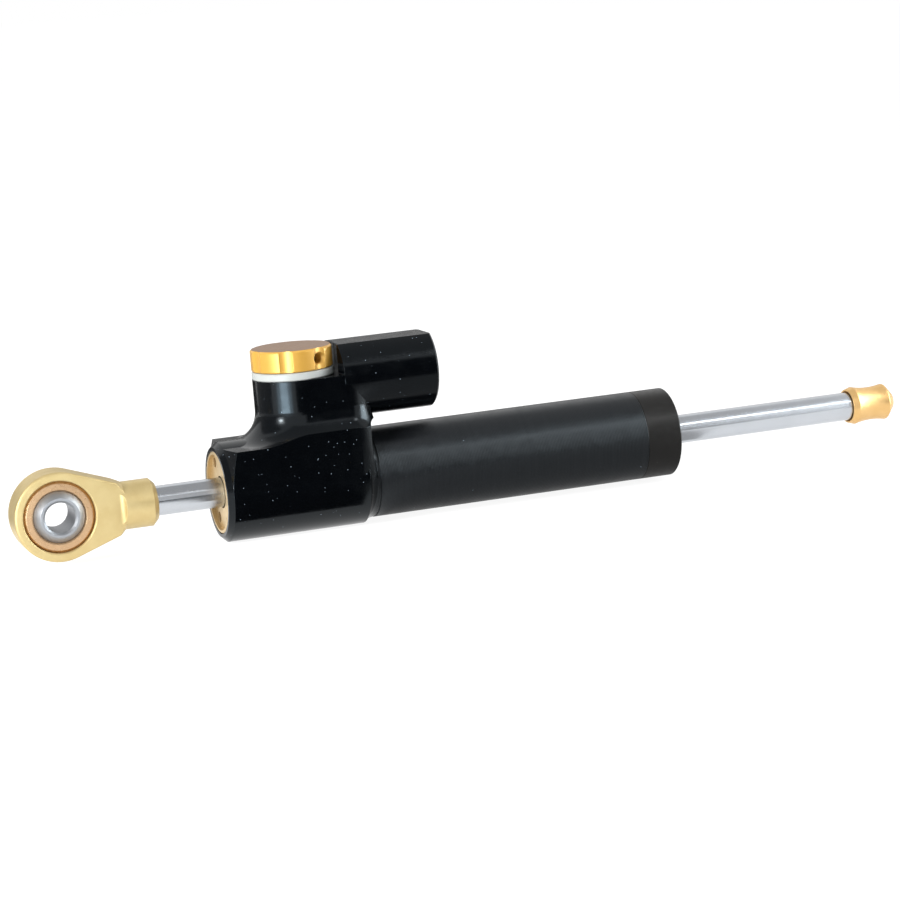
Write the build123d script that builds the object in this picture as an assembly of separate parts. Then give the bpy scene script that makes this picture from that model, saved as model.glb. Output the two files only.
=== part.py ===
from build123d import *
import math
import os

# A motorcycle steering damper with a through rod. The rod slides in a bored cylinder, and a needle
# valve under the gold knob sets how hard the oil passes from one side of the piston to the other.
# Stations run along the rod, from the left face of the head towards the stop cap. Heights are taken
# from the rod's axis. The origin lies on that axis, in the middle of the length that a clamp can use.

# Fits and clearances
seat_gap = 0.05
slide_gap = 0.04
lift_gap = 0.15
pass_gap = 0.3
overrun = 2.0
edge_break = 0.3

# Rod, and how far it stands out on each side at rest
rod_radius = 4.0
rod_left_gap = 17.0
rod_right_gap = 57.0
rod_stud_radius = 3.2
rod_stud_length = 12.0
rod_seat_depth = 1.2

# Cylinder head
head_radius = 13.5
head_length = 41.5
head_chamfer = 1.4
slab_half_width = 13.4
slab_lean = 21.0
ledge_height = 12.3
flare_radius = 8.0
neck_end_station = 40.6
neck_corner_radius = 4.9
throat_radius = 2.0
blend_radius = 3.2

# Tower, indicator ring and knob pocket
tower_station = 23.75
tower_radius = 11.0
tower_height = 28.65
ring_thickness = 2.1
ring_width = 2.2
pocket_gap = 1.25
pocket_chamfer = 0.3

# Reservoir
reservoir_radius = 11.05
reservoir_height = 27.0
reservoir_start_station = 35.0
reservoir_end_station = 61.4
reservoir_flat_height = 36.4
reservoir_chamfer = 0.5
reservoir_bore_radius = 7.5
reservoir_bore_length = 22.9

# Tube, inner sleeve and end cap
tube_radius = 12.28
tube_length = 78.6
tube_wall = 1.78
tube_spigot_step = 0.88
spigot_clearance = 3.05
tube_seam_depth = 0.12
tube_relief_depth = 0.3
tube_relief_length = 0.8
gallery_length = 3.5
sleeve_clearance = 0.6
sleeve_wall = 0.9
port_radius = 1.25
port_count = 6
end_cap_length = 9.8

# Gland, and the pack of wiper, seal and bush at each end
gland_radius = 11.1
gland_rim_width = 0.9
gland_dish_depth = 1.2
pin_hole_radius = 1.4
pin_hole_circle_radius = 8.6
pin_hole_depth = 3.0
pin_hole_count = 6
pin_hole_turn = 30.0
lip_length = 1.2
lip_gap = 0.35
wiper_length = 2.8
wiper_radius = 5.9
land_length = 1.1
seal_length = 3.6
seal_radius = 6.6
bush_length = 7.8
bush_radius = 5.5
bush_recess = 0.8
nose_length = 3.0

# Piston
piston_length = 12.0
piston_clearance = 0.25
piston_edge = 0.5
band_length = 4.6
band_share = 1 / 5
piston_cord_share = 13 / 100
circlip_thickness = 0.9
circlip_groove_depth = 0.5
circlip_width = 1.7
circlip_opening = 2.4

# Cords of the round seals
cord_radius = 0.65
small_cord_radius = 0.5

# Rod eye and its spherical bearing
ball_radius = 7.9375
ball_width = 12.0
ball_bore_radius = 4.0
ball_bore_chamfer = 0.6
race_radius = 9.5
race_width = 9.0
race_edge = 0.7
race_lip = 0.7
eye_radius = 11.9
eye_width = 10.0
eye_reach = 26.4
eye_edge = 0.7
shank_radius = 6.4
shank_length = 8.8
shank_chamfer = 1.3
shank_step_radius = 1.6

# Stop cap on the right end of the rod
stop_length = 14.3
stop_mouth_length = 1.7
stop_mouth_radius = 4.8
stop_mouth_bore_radius = 4.4
stop_rim_radius = 5.35
stop_waist_radius = 4.68
stop_waist_length = 6.3
stop_flare_radius = 5.16
stop_flare_length = 2.9
stop_flare_round = 0.5
stop_tip_radius = 2.4
stop_tip_length = 0.5
stop_wall = 2.6

# Knob and its click stops
knob_radius = 10.95
knob_height = 5.8
knob_chamfer = 0.45
flute_count = 7
flute_depth = 0.6
flute_width = 4.4
flute_turn = -113.0
hub_radius = 8.4
hub_depth = 1.95
click_count = 24
click_circle_radius = 7.4
click_depth = 0.3
click_ball_radius = 1.0
plunger_radius = 1.5
plunger_length = 5.0
plunger_turn = 165.0
set_screw_radius = 1.3
set_screw_depth = 2.4
set_screw_height = 2.9
key_flats = 1.5
key_depth = 1.6

# Spindle, bush, needle and seat of the valve
spindle_radius = 2.5
spindle_collar_radius = 3.4
spindle_collar_share = 2 / 17
spindle_socket_share = 1 / 4
spindle_top_wall = 1.4
valve_bush_radius = 5.2
valve_bush_step_share = 7 / 17
needle_share = 4 / 17
needle_stem_radius = 1.2
needle_stem_lift = 0.4
needle_tip_radius = 0.4
needle_tip_length = 2.6
needle_tang_side = 2.1
needle_tang_share = 21 / 68
needle_travel = 0.375
valve_seat_radius = 3.2
valve_seat_thickness = 2.0
valve_seat_bore_radius = 1.1
valve_seat_cover = 1.05
valve_chamber_radius = 4.4
valve_chamber_height = 2.05
oil_hole_radius = 0.7
port_gap = 0.7

# Reservoir fittings
separator_length = 6.0
separator_wall = 1.6
plug_length = 5.2
plug_recess = 0.4
plug_pin_radius = 0.9
plug_pin_circle_radius = 4.6
plug_pin_depth = 2.2
fill_screw_radius = 1.5
fill_screw_length = 4.0

# Radii, stations and heights that follow from the sizes above
tube_bore_radius = tube_radius - tube_wall
tube_spigot_radius = tube_radius - tube_spigot_step
sleeve_radius = tube_bore_radius - sleeve_clearance
sleeve_bore_radius = sleeve_radius - sleeve_wall
piston_radius = sleeve_bore_radius - piston_clearance
band_thickness = (sleeve_bore_radius - rod_radius) * band_share
piston_cord_radius = (sleeve_bore_radius - rod_radius) * piston_cord_share
tube_end_station = head_length + tube_length
cap_end_station = tube_end_station + end_cap_length
pack_length = lip_length + wiper_length + seal_length + 2 * land_length + bush_length + bush_recess
chamber_start = gland_dish_depth + pack_length
chamber_end = cap_end_station - pack_length
sleeve_start = chamber_start - nose_length
sleeve_end = chamber_end + nose_length
spigot_start = tower_station + valve_seat_radius + spigot_clearance
gallery_start = spigot_start - gallery_length
piston_station = (chamber_start + chamber_end + rod_right_gap - rod_left_gap) / 2
shank_face_station = -rod_left_gap
eye_station = shank_face_station - eye_reach
stop_station = cap_end_station + rod_right_gap
clamp_station = (reservoir_end_station + tube_end_station) / 2
ring_top = tower_height + ring_thickness
knob_bottom = ring_top + lift_gap
knob_top = knob_bottom + knob_height
hub_bottom = knob_bottom - hub_depth
pocket_radius = knob_radius + pocket_gap
set_screw_level = knob_bottom + set_screw_height
set_screw_turn = flute_turn + 360 / flute_count
valve_seat_bottom = sleeve_radius + seat_gap + valve_seat_cover
valve_seat_top = valve_seat_bottom + valve_seat_thickness
valve_bush_bottom = valve_seat_top + valve_chamber_height
valve_bush_length = tower_height - valve_bush_bottom
valve_bush_shoulder = tower_height - valve_bush_length * valve_bush_step_share
needle_length = valve_bush_length * needle_share
needle_tang_length = valve_bush_length * needle_tang_share
needle_stem_end = valve_seat_top + needle_travel + needle_stem_lift
needle_bottom = valve_bush_bottom + needle_travel + pass_gap
needle_top = needle_bottom + needle_length
spindle_collar_length = valve_bush_length * spindle_collar_share
spindle_socket_depth = valve_bush_length * spindle_socket_share
spindle_bottom = valve_bush_shoulder - seat_gap - spindle_collar_length
spindle_top = knob_top - spindle_top_wall
reservoir_bore_start = reservoir_end_station - reservoir_bore_length
plug_end = reservoir_end_station - plug_recess
plug_start = plug_end - plug_length
separator_station = (reservoir_bore_start + plug_start) / 2

# Axes that the turned pieces stand on
rod_axis = Plane((0, 0, 0), x_dir=(0, 0, 1), z_dir=(1, 0, 0))
left_end = rod_axis
right_end = Plane((cap_end_station, 0, 0), x_dir=(0, 0, 1), z_dir=(-1, 0, 0))
stop_axis = Plane((stop_station, 0, 0), x_dir=(0, 0, 1), z_dir=(1, 0, 0))
tower_axis = Plane((tower_station, 0, 0), x_dir=(1, 0, 0), z_dir=(0, 0, 1))
reservoir_axis = Plane((0, 0, reservoir_height), x_dir=(0, 0, 1), z_dir=(1, 0, 0))
eye_axis = Plane((eye_station, 0, 0), x_dir=(1, 0, 0), z_dir=(0, -1, 0))


def turned(place, *points):
    """A turned solid, from the (distance along the axis, radius) points of its half section."""
    outline = Polyline(*[(radius, along) for along, radius in points], close=True)
    return place * revolve(Plane.XZ * make_face(outline), Axis.Z)


def ring(place, start, end, radius, bore=0):
    """A plain round piece on an axis, between two distances, with a bore or without."""
    return turned(place, (start, bore), (end, bore), (end, radius), (start, radius))


def broken_ring(place, start, end, radius, bore, edge):
    """A ring with its two outer corners broken."""
    return turned(
        place,
        (start, bore),
        (end, bore),
        (end, radius - edge),
        (end - edge, radius),
        (start + edge, radius),
        (start, radius - edge),
    )


def round_seal(place, along, radius, cord):
    """A round seal whose cord is centred on a given radius."""
    return place * (Pos(0, 0, along) * Torus(radius, cord))


def seal_in_bore(place, along, bore_radius, cord):
    """The round seal of a shaft that stands in a bore, a hair clear of the bore."""
    return round_seal(place, along, bore_radius - seat_gap - cord, cord)


def groove_on_shaft(place, along, bore_radius, cord):
    """What is turned off a shaft for the seal that seals it in a bore."""
    bottom = bore_radius - 2 * seat_gap - 2 * cord
    half_width = cord + seat_gap
    return ring(place, along - half_width, along + half_width, bore_radius + overrun, bottom)


def seal_on_shaft(place, along, shaft_radius, cord):
    """The round seal of a bore that a shaft passes through, a hair clear of the shaft."""
    return round_seal(place, along, shaft_radius + seat_gap + cord, cord)


def groove_in_bore(place, along, shaft_radius, cord):
    """What is turned out of a bore for the seal that seals it on a shaft."""
    half_width = cord + seat_gap
    return ring(place, along - half_width, along + half_width, shaft_radius + 2 * seat_gap + 2 * cord)


def drilled(start, end, radius):
    """A straight drilled hole between two points of the plane through the rod and the tower."""
    run = Vector(*end) - Vector(*start)
    return Plane(start, z_dir=run) * Pos(0, 0, run.length / 2) * Cylinder(radius, run.length)


def flare_cutter():
    """What is milled off round the tower and along the neck, down to a hollow corner."""
    corner = tower_radius + flare_radius
    hollow_top = ledge_height + flare_radius
    top = tower_height + overrun
    reach = reservoir_end_station
    middle = flare_radius * (1 - math.sqrt(0.5))
    hollow = ThreePointArc(
        (tower_radius, hollow_top),
        (tower_radius + middle, ledge_height + middle),
        (corner, ledge_height),
    )
    rest = Polyline(
        (corner, ledge_height),
        (reach, ledge_height),
        (reach, top),
        (tower_radius, top),
        (tower_radius, hollow_top),
    )
    section = make_face(hollow + rest)
    around = tower_axis * revolve(Plane.XZ * section, Axis.Z)
    left_half = Pos(tower_station - reach, 0, 0) * Box(2 * reach, 2 * reach, 2 * top)
    straight_length = neck_end_station - neck_corner_radius + edge_break - tower_station
    straight = extrude(Plane.YZ * Pos(0, 0, tower_station) * section, straight_length)
    inset = tower_radius - neck_corner_radius - throat_radius
    at_corner = Pos(tower_station + straight_length, inset, 0)
    quarter = Pos(reach, reach, 0) * Box(2 * reach, 2 * reach, 2 * top)
    corner_part = at_corner * (revolve(Plane.XZ * Pos(-inset, 0) * section, Axis.Z) & quarter)
    one_side = straight + corner_part
    return (around & left_half) + one_side + mirror(one_side, Plane.XZ)


def slot_cutter():
    """The slot milled between the reservoir and the tube, with a rounded corner at its end."""
    ceiling = reservoir_height - reservoir_radius
    reach = reservoir_end_station + overrun
    outline = Pos((neck_end_station + reach) / 2, ceiling / 2) * Rectangle(reach - neck_end_station, ceiling)
    corner = outline.vertices().group_by(Axis.X)[0].sort_by(Axis.Y)[-1]
    return extrude(Plane.XZ * fillet(corner, throat_radius), head_radius, both=True)


def reservoir_outside():
    """The reservoir's cylinder, with its milled flat and the hollow in its end that clears the knob."""
    cylinder = turned(
        reservoir_axis,
        (reservoir_start_station, 0),
        (reservoir_end_station, 0),
        (reservoir_end_station, reservoir_radius - reservoir_chamfer),
        (reservoir_end_station - reservoir_chamfer, reservoir_radius),
        (reservoir_start_station, reservoir_radius),
    )
    flat = Pos(reservoir_end_station, 0, reservoir_flat_height + reservoir_radius / 2)
    flat *= Box(2 * reservoir_end_station, 2 * reservoir_radius, reservoir_radius)
    pocket = ring(tower_axis, 0, reservoir_height + 2 * reservoir_radius, pocket_radius)
    cut = cylinder - flat - pocket
    lip = [edge for edge in cut.edges() if lies_on_pocket(edge)]
    return chamfer(lip, pocket_chamfer)


def lies_on_pocket(edge):
    """Whether an edge runs along the pocket's wall."""
    points = [edge.position_at(share) for share in (0.2, 0.5, 0.8)]
    radii = [math.hypot(point.X - tower_station, point.Y) for point in points]
    return all(abs(radius - pocket_radius) < slide_gap for radius in radii)


def head_outside():
    """The head before it is bored: barrel, ledge, tower and reservoir from one billet."""
    barrel = ring(rod_axis, 0, head_length, head_radius)
    barrel -= round_seal(rod_axis, head_length, tube_radius + blend_radius, blend_radius)
    block_end = neck_end_station + throat_radius
    block_plan = Pos(block_end / 2, 0) * Rectangle(block_end, 2 * slab_half_width)
    block_plan = fillet(block_plan.vertices().sort_by(Axis.X)[-2:], blend_radius + throat_radius)
    block = extrude(block_plan, tower_height) - flare_cutter() - slot_cutter()
    block -= ring(rod_axis, head_length, block_end + overrun, tube_radius + seat_gap)
    rim = ledge_height + flare_radius
    left_chamfer = turned(
        rod_axis,
        (-overrun, head_radius - head_chamfer - overrun),
        (-overrun, rim),
        (head_chamfer + (rim - head_radius) * math.tan(math.radians(slab_lean)), rim),
        (head_chamfer, head_radius),
    )
    return barrel + block + reservoir_outside() - left_chamfer


def head_body():
    """The machined head, with its bores and drilled ports."""
    head = head_outside()
    head -= ring(rod_axis, -overrun, sleeve_start, gland_radius + seat_gap)
    head -= ring(rod_axis, -overrun, head_length, sleeve_radius + seat_gap)
    head -= ring(rod_axis, gallery_start, head_length, tube_bore_radius)
    head -= ring(rod_axis, spigot_start, head_length + overrun, tube_spigot_radius + seat_gap)
    head -= groove_in_bore(rod_axis, tube_seal_station(), tube_spigot_radius, small_cord_radius)
    head -= ring(tower_axis, valve_bush_bottom, tower_height + overrun, valve_bush_radius + seat_gap)
    head -= ring(tower_axis, valve_seat_top, tower_height, valve_chamber_radius)
    head -= ring(tower_axis, valve_seat_bottom, tower_height, valve_seat_radius + seat_gap)
    head -= ring(tower_axis, 0, tower_height, port_radius)
    gallery = (spigot_start - port_gap, 0, tube_bore_radius - oil_hole_radius)
    valve_side = tower_station + valve_chamber_radius - oil_hole_radius
    head -= drilled(gallery, (valve_side, 0, (valve_seat_top + valve_bush_bottom) / 2), oil_hole_radius)
    reservoir_side = reservoir_bore_start + oil_hole_radius
    reservoir_low = reservoir_height - reservoir_bore_radius + oil_hole_radius
    head -= drilled(gallery, (reservoir_side, 0, reservoir_low), oil_hole_radius)
    bore_mouth = reservoir_end_station + overrun
    head -= ring(reservoir_axis, reservoir_bore_start, bore_mouth, reservoir_bore_radius)
    plunger_hole = Cylinder(plunger_radius + seat_gap, plunger_length + overrun)
    return head - plunger_place() * Pos(0, 0, (overrun - plunger_length) / 2) * plunger_hole


def plunger_place():
    """Where the click plunger stands, on top of the tower."""
    turn = math.radians(plunger_turn)
    across = click_circle_radius * math.sin(turn)
    return Pos(tower_station + click_circle_radius * math.cos(turn), across, tower_height)


def tube_seal_station():
    """Where the seal between head and tube lies."""
    return spigot_start + (head_length - spigot_start) / 4


def tube():
    """The outer tube, with the spigot that screws into the head."""
    return turned(
        rod_axis,
        (spigot_start, tube_bore_radius),
        (tube_end_station, tube_bore_radius),
        (tube_end_station, tube_radius - tube_seam_depth),
        (tube_end_station - tube_seam_depth, tube_radius),
        (head_length + tube_relief_length, tube_radius),
        (head_length + tube_relief_length, tube_radius - tube_relief_depth),
        (head_length, tube_radius - tube_relief_depth),
        (head_length, tube_spigot_radius),
        (spigot_start + edge_break, tube_spigot_radius),
        (spigot_start, tube_spigot_radius - edge_break),
    )


def inner_sleeve():
    """The sleeve that the piston runs in, with oil ports near both ends."""
    sleeve = ring(rod_axis, sleeve_start, sleeve_end, sleeve_radius, sleeve_bore_radius)
    sleeve -= ring(tower_axis, 0, sleeve_radius + overrun, port_radius)
    port_station = chamber_end - land_length - port_radius
    port = Pos(port_station, 0, sleeve_radius) * Cylinder(port_radius, sleeve_radius)
    return sleeve - [Rot(360 * number / port_count, 0, 0) * port for number in range(port_count)]


def rod_bore(start):
    """The stepped bore round the rod: lip, wiper groove, seal groove and bush, from the outside in."""
    free_radius = rod_radius + lip_gap
    steps = (
        (lip_length, free_radius),
        (wiper_length, wiper_radius),
        (land_length, free_radius),
        (seal_length, seal_radius),
        (land_length, free_radius),
        (bush_length + bush_recess, bush_radius + seat_gap),
    )
    points = []
    along = start
    for length, radius in steps:
        points += [(along, radius), (along + length, radius)]
        along += length
    return points


def gland():
    """The gold gland nut: a dished face with pin holes, and a nose that enters the sleeve."""
    rim_radius = gland_radius - gland_rim_width
    nut = turned(
        left_end,
        *rod_bore(gland_dish_depth),
        (chamber_start, sleeve_bore_radius - seat_gap),
        (sleeve_start, sleeve_bore_radius - seat_gap),
        (sleeve_start, gland_radius),
        (edge_break, gland_radius),
        (0, gland_radius - edge_break),
        (0, rim_radius),
        (gland_dish_depth, rim_radius),
    )
    nut -= groove_on_shaft(left_end, gland_seal_depth(), gland_radius + seat_gap, cord_radius)
    pin_hole = Cylinder(pin_hole_radius, 2 * pin_hole_depth)
    holes = PolarLocations(pin_hole_circle_radius, pin_hole_count, pin_hole_turn)
    return nut - [left_end * Pos(0, 0, gland_dish_depth) * hole * pin_hole for hole in holes]


def gland_seal_depth():
    """How far behind the gland's face its outer seal lies."""
    return sleeve_start - land_length - 2 * cord_radius


def tube_end_cap():
    """The black cap that closes the tube, with the same stepped bore as the gland."""
    spigot_end = cap_end_station - sleeve_end
    cap = turned(
        right_end,
        *rod_bore(0),
        (pack_length, sleeve_bore_radius - seat_gap),
        (spigot_end, sleeve_bore_radius - seat_gap),
        (spigot_end, tube_bore_radius - seat_gap),
        (end_cap_length, tube_bore_radius - seat_gap),
        (end_cap_length, tube_radius - tube_seam_depth),
        (end_cap_length - tube_seam_depth, tube_radius),
        (edge_break, tube_radius),
        (0, tube_radius - edge_break),
    )
    return cap - groove_on_shaft(right_end, end_cap_seal_depth(), tube_bore_radius, cord_radius)


def end_cap_seal_depth():
    """How far inside the cap's face its outer seal lies."""
    return cap_end_station - sleeve_end - land_length - cord_radius


def wiper(place, face):
    """The wiper that keeps dirt off the rod, with its sharp lip outwards."""
    start = face + lip_length + seat_gap
    end = start + wiper_length - 2 * seat_gap
    return turned(
        place,
        (start, rod_radius + slide_gap),
        (start + edge_break, rod_radius + slide_gap),
        (end, rod_radius + lip_gap),
        (end, wiper_radius - seat_gap),
        (start + edge_break, wiper_radius - seat_gap),
        (start + edge_break, rod_radius + 2 * lip_gap),
    )


def rod_seal(place, face):
    """The lip seal that holds the oil in, with its hollow towards the oil."""
    start = face + lip_length + wiper_length + land_length + seat_gap
    end = start + seal_length - 2 * seat_gap
    inner = rod_radius + slide_gap
    outer = seal_radius - seat_gap
    middle = ((start + end) / 2, (inner + outer) / 2)
    return turned(place, (start, inner), (end, inner), middle, (end, outer), (start, outer))


def guide_bush(place, face):
    """The bronze bush that guides the rod."""
    end = face + pack_length - bush_recess
    return broken_ring(place, end - bush_length, end, bush_radius, rod_radius + slide_gap, edge_break)


def rod():
    """The chromed rod: a stud for the eye, grooves that hold the piston, a stud for the stop cap."""
    left_seat = shank_face_station - rod_seat_depth
    right_seat = stop_station + rod_seat_depth
    stud_start = left_seat - rod_stud_length
    stud_end = stop_station + stop_length - stop_wall - pass_gap
    bar = turned(
        rod_axis,
        (stud_start, 0),
        (stud_end, 0),
        (stud_end, rod_stud_radius - edge_break),
        (stud_end - edge_break, rod_stud_radius),
        (right_seat, rod_stud_radius),
        (right_seat, rod_radius),
        (left_seat, rod_radius),
        (left_seat, rod_stud_radius),
        (stud_start + edge_break, rod_stud_radius),
        (stud_start, rod_stud_radius - edge_break),
    )
    groove_bottom = rod_radius - circlip_groove_depth
    for start in circlip_starts():
        end = start + circlip_thickness + seat_gap
        bar -= ring(rod_axis, start - seat_gap, end, rod_radius + overrun, groove_bottom)
    return bar


def circlip_starts():
    """Where the two circlips start, one against each face of the piston."""
    half = piston_length / 2 + seat_gap
    return (piston_station - half - circlip_thickness, piston_station + half)


def piston_circlips():
    """The two open rings that hold the piston on the rod."""
    bore = rod_radius - circlip_groove_depth + seat_gap
    outside = bore + circlip_width
    opening = Pos(piston_station, 0, outside) * Box(2 * piston_length, circlip_opening, outside)
    rings = [ring(rod_axis, start, start + circlip_thickness, outside, bore) for start in circlip_starts()]
    return (rings[0] + rings[1]) - opening


def band_bore_radius():
    """The inside of the piston's band."""
    return sleeve_bore_radius - slide_gap - band_thickness


def piston():
    """The piston, grooved for its seal and band."""
    start = piston_station - piston_length / 2
    end = piston_station + piston_length / 2
    disc = broken_ring(rod_axis, start, end, piston_radius, rod_radius + seat_gap, piston_edge)
    groove_start = piston_station - band_length / 2 - slide_gap
    groove_end = piston_station + band_length / 2 + slide_gap
    bottom = band_bore_radius() - 2 * slide_gap - 2 * piston_cord_radius
    return disc - ring(rod_axis, groove_start, groove_end, piston_radius + overrun, bottom)


def piston_seal():
    """The round seal that presses the band outwards."""
    radius = band_bore_radius() - slide_gap - piston_cord_radius
    return round_seal(rod_axis, piston_station, radius, piston_cord_radius)


def piston_band():
    """The slippery band between piston and sleeve, in which the piston can turn."""
    half = band_length / 2
    outside = sleeve_bore_radius - slide_gap
    return ring(rod_axis, piston_station - half, piston_station + half, outside, band_bore_radius())


def rod_eye():
    """The gold eye: a flat ring that runs down to a round shank, with a milled step between them."""
    neck_reach = eye_reach - shank_length
    neck_station = eye_station + neck_reach
    slant = math.hypot(neck_reach, shank_radius)
    turn = math.atan2(shank_radius, neck_reach) + math.acos(eye_radius / slant)
    touch = (eye_radius * math.cos(turn), eye_radius * math.sin(turn))
    flanks = make_face(
        Polyline(
            touch, (neck_reach, shank_radius), (neck_reach, -shank_radius), (touch[0], -touch[1]), close=True
        )
    )
    plate = extrude(Circle(eye_radius) + flanks, eye_width / 2, both=True)
    flat_edges = plate.edges().group_by(Axis.Z)[0] + plate.edges().group_by(Axis.Z)[-1]
    rim = [edge for edge in flat_edges if edge.center().X < neck_reach - seat_gap]
    plate = eye_axis * fillet(rim, eye_edge)
    reach = eye_reach + eye_radius
    plate &= turned(
        rod_axis,
        (neck_station, 0),
        (neck_station, shank_radius),
        (neck_station - reach, shank_radius + reach),
        (neck_station - reach, 0),
    )
    shank = turned(
        rod_axis,
        (neck_station - 2 * shank_step_radius, 0),
        (shank_face_station, 0),
        (shank_face_station, shank_radius - shank_chamfer),
        (shank_face_station - shank_chamfer, shank_radius),
        (neck_station - 2 * shank_step_radius, shank_radius),
    )
    cutter_plan = Pos(neck_station - reach / 2, eye_width / 2 + shank_radius / 2)
    cutter_plan *= Rectangle(reach, shank_radius)
    corner = cutter_plan.vertices().group_by(Axis.X)[-1].sort_by(Axis.Y)[0]
    cutter = extrude(fillet(corner, shank_step_radius), eye_radius, both=True)
    eye = plate + (shank - cutter - mirror(cutter, Plane.XZ))
    half = eye_width / 2
    bore = race_radius + seat_gap
    eye -= turned(
        eye_axis,
        (-half - edge_break, 0),
        (half + edge_break, 0),
        (half + edge_break, bore + 2 * edge_break),
        (half - edge_break, bore),
        (edge_break - half, bore),
        (-half - edge_break, bore + 2 * edge_break),
    )
    stud_bore = shank_face_station - rod_seat_depth - rod_stud_length - pass_gap
    eye -= ring(rod_axis, stud_bore, shank_face_station, rod_stud_radius + seat_gap)
    return eye - ring(
        rod_axis, shank_face_station - rod_seat_depth, shank_face_station + overrun, rod_radius + seat_gap
    )


def bearing_race():
    """The bronze outer ring of the spherical bearing."""
    half = race_width / 2
    race = broken_ring(eye_axis, -half, half, race_radius, 0, race_edge)
    race -= eye_axis * Sphere(ball_radius + slide_gap)
    mouth = math.sqrt(ball_radius ** 2 - half ** 2) + race_lip
    return race - turned(
        eye_axis,
        (-half, 0),
        (half, 0),
        (half, mouth),
        (half - race_lip, mouth - race_lip),
        (race_lip - half, mouth - race_lip),
        (-half, mouth),
    )


def bearing_ball():
    """The steel ball of the bearing, with flat sides and a bore for the bolt."""
    half = ball_width / 2
    ball = eye_axis * Sphere(ball_radius)
    ball &= ring(eye_axis, -half, half, ball_radius)
    mouth = ball_bore_radius + ball_bore_chamfer
    return ball - turned(
        eye_axis,
        (-half - ball_bore_chamfer, 0),
        (half + ball_bore_chamfer, 0),
        (half + ball_bore_chamfer, mouth + ball_bore_chamfer),
        (half - ball_bore_chamfer, ball_bore_radius),
        (ball_bore_chamfer - half, ball_bore_radius),
        (-half - ball_bore_chamfer, mouth + ball_bore_chamfer),
    )


def rod_stop_cap():
    """The gold cap on the rod's free end: a waisted skirt, a cone and a small domed tip."""
    flare_along = stop_length - stop_flare_length
    dome_along = stop_length - stop_tip_length
    bore_end = stop_length - stop_wall
    waist = ThreePointArc(
        (stop_rim_radius, stop_mouth_length),
        (stop_waist_radius, stop_waist_length),
        (stop_flare_radius, flare_along),
    )
    cone = Line((stop_flare_radius, flare_along), (stop_tip_radius, dome_along))
    dome = TangentArc((0, stop_length), (stop_tip_radius, dome_along), tangent=(1, 0))
    inside = Polyline(
        (0, stop_length),
        (0, bore_end),
        (rod_stud_radius + seat_gap, bore_end),
        (rod_stud_radius + seat_gap, rod_seat_depth),
        (stop_mouth_bore_radius, rod_seat_depth),
        (stop_mouth_bore_radius, 0),
        (stop_mouth_radius, 0),
        (stop_rim_radius, stop_mouth_length),
    )
    section = make_face(waist + cone + dome + inside)
    corner = section.vertices().sort_by_distance((stop_flare_radius, flare_along, 0))[0]
    section = fillet(corner, stop_flare_round)
    return stop_axis * revolve(Plane.XZ * section, Axis.Z)


def indicator_ring():
    """The white ring between tower and knob."""
    bore = tower_radius - ring_width
    return broken_ring(tower_axis, tower_height, ring_top, tower_radius, bore, edge_break)


def set_screw_place():
    """The radial axis of the knob's set screw."""
    turn = math.radians(set_screw_turn)
    outwards = (math.cos(turn), math.sin(turn), 0)
    return Plane((tower_station, 0, set_screw_level), x_dir=(0, 0, 1), z_dir=outwards)


def knob():
    """The fluted gold knob, with a hub below whose ring of dimples makes the clicks."""
    blank = turned(
        tower_axis,
        (hub_bottom, 0),
        (knob_top, 0),
        (knob_top, knob_radius - knob_chamfer),
        (knob_top - knob_chamfer, knob_radius),
        (knob_bottom + edge_break, knob_radius),
        (knob_bottom, knob_radius - edge_break),
        (knob_bottom, hub_radius),
        (hub_bottom, hub_radius),
    )
    flute_radius = ((flute_width / 2) ** 2 + flute_depth ** 2) / (2 * flute_depth)
    flute = Pos(0, 0, knob_top) * Cylinder(flute_radius, 2 * knob_height + lift_gap)
    flutes = PolarLocations(knob_radius - flute_depth + flute_radius, flute_count, flute_turn)
    blank -= [tower_axis * place * flute for place in flutes]
    dimple_radius = click_ball_radius + seat_gap
    dimple = Pos(0, 0, hub_bottom + click_depth - dimple_radius) * Sphere(dimple_radius)
    dimples = PolarLocations(click_circle_radius, click_count, plunger_turn)
    blank -= [tower_axis * place * dimple for place in dimples]
    blank -= ring(tower_axis, hub_bottom - overrun, spindle_top + seat_gap, spindle_radius + seat_gap)
    hole_radius = set_screw_radius + seat_gap
    flute_bottom = knob_radius - flute_depth
    return blank - turned(
        set_screw_place(),
        (0, 0),
        (knob_radius + overrun, 0),
        (knob_radius + overrun, hole_radius + overrun + flute_depth + edge_break),
        (flute_bottom - edge_break, hole_radius),
        (0, hole_radius),
    )


def knob_set_screw():
    """The set screw that locks the knob on its spindle, with a hexagonal key hole."""
    start = spindle_radius + 2 * seat_gap
    end = knob_radius - flute_depth - set_screw_depth
    screw = broken_ring(set_screw_place(), start, end, set_screw_radius, 0, edge_break)
    return screw - set_screw_place() * key_hole(end)


def key_hole(end):
    """A hexagonal key hole that is sunk from a screw's end, which lies at a distance on its axis."""
    key = extrude(RegularPolygon(key_flats / 2, 6, major_radius=False), key_depth + overrun)
    return Pos(0, 0, end - key_depth) * key


def click_plunger():
    """The threaded sleeve that the click ball stands in."""
    body = ring(Plane.XY, -plunger_length, 0, plunger_radius)
    floor = click_ball_radius - plunger_length
    return plunger_place() * (body - ring(Plane.XY, floor, overrun, click_ball_radius + seat_gap))


def click_ball_level():
    """The height of the click ball's centre at rest, pressed down by the hub."""
    return hub_bottom - slide_gap - click_ball_radius


def click_ball():
    """The ball that clicks into the dimples under the knob."""
    return plunger_place() * Pos(0, 0, click_ball_level() - tower_height) * Sphere(click_ball_radius)


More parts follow.
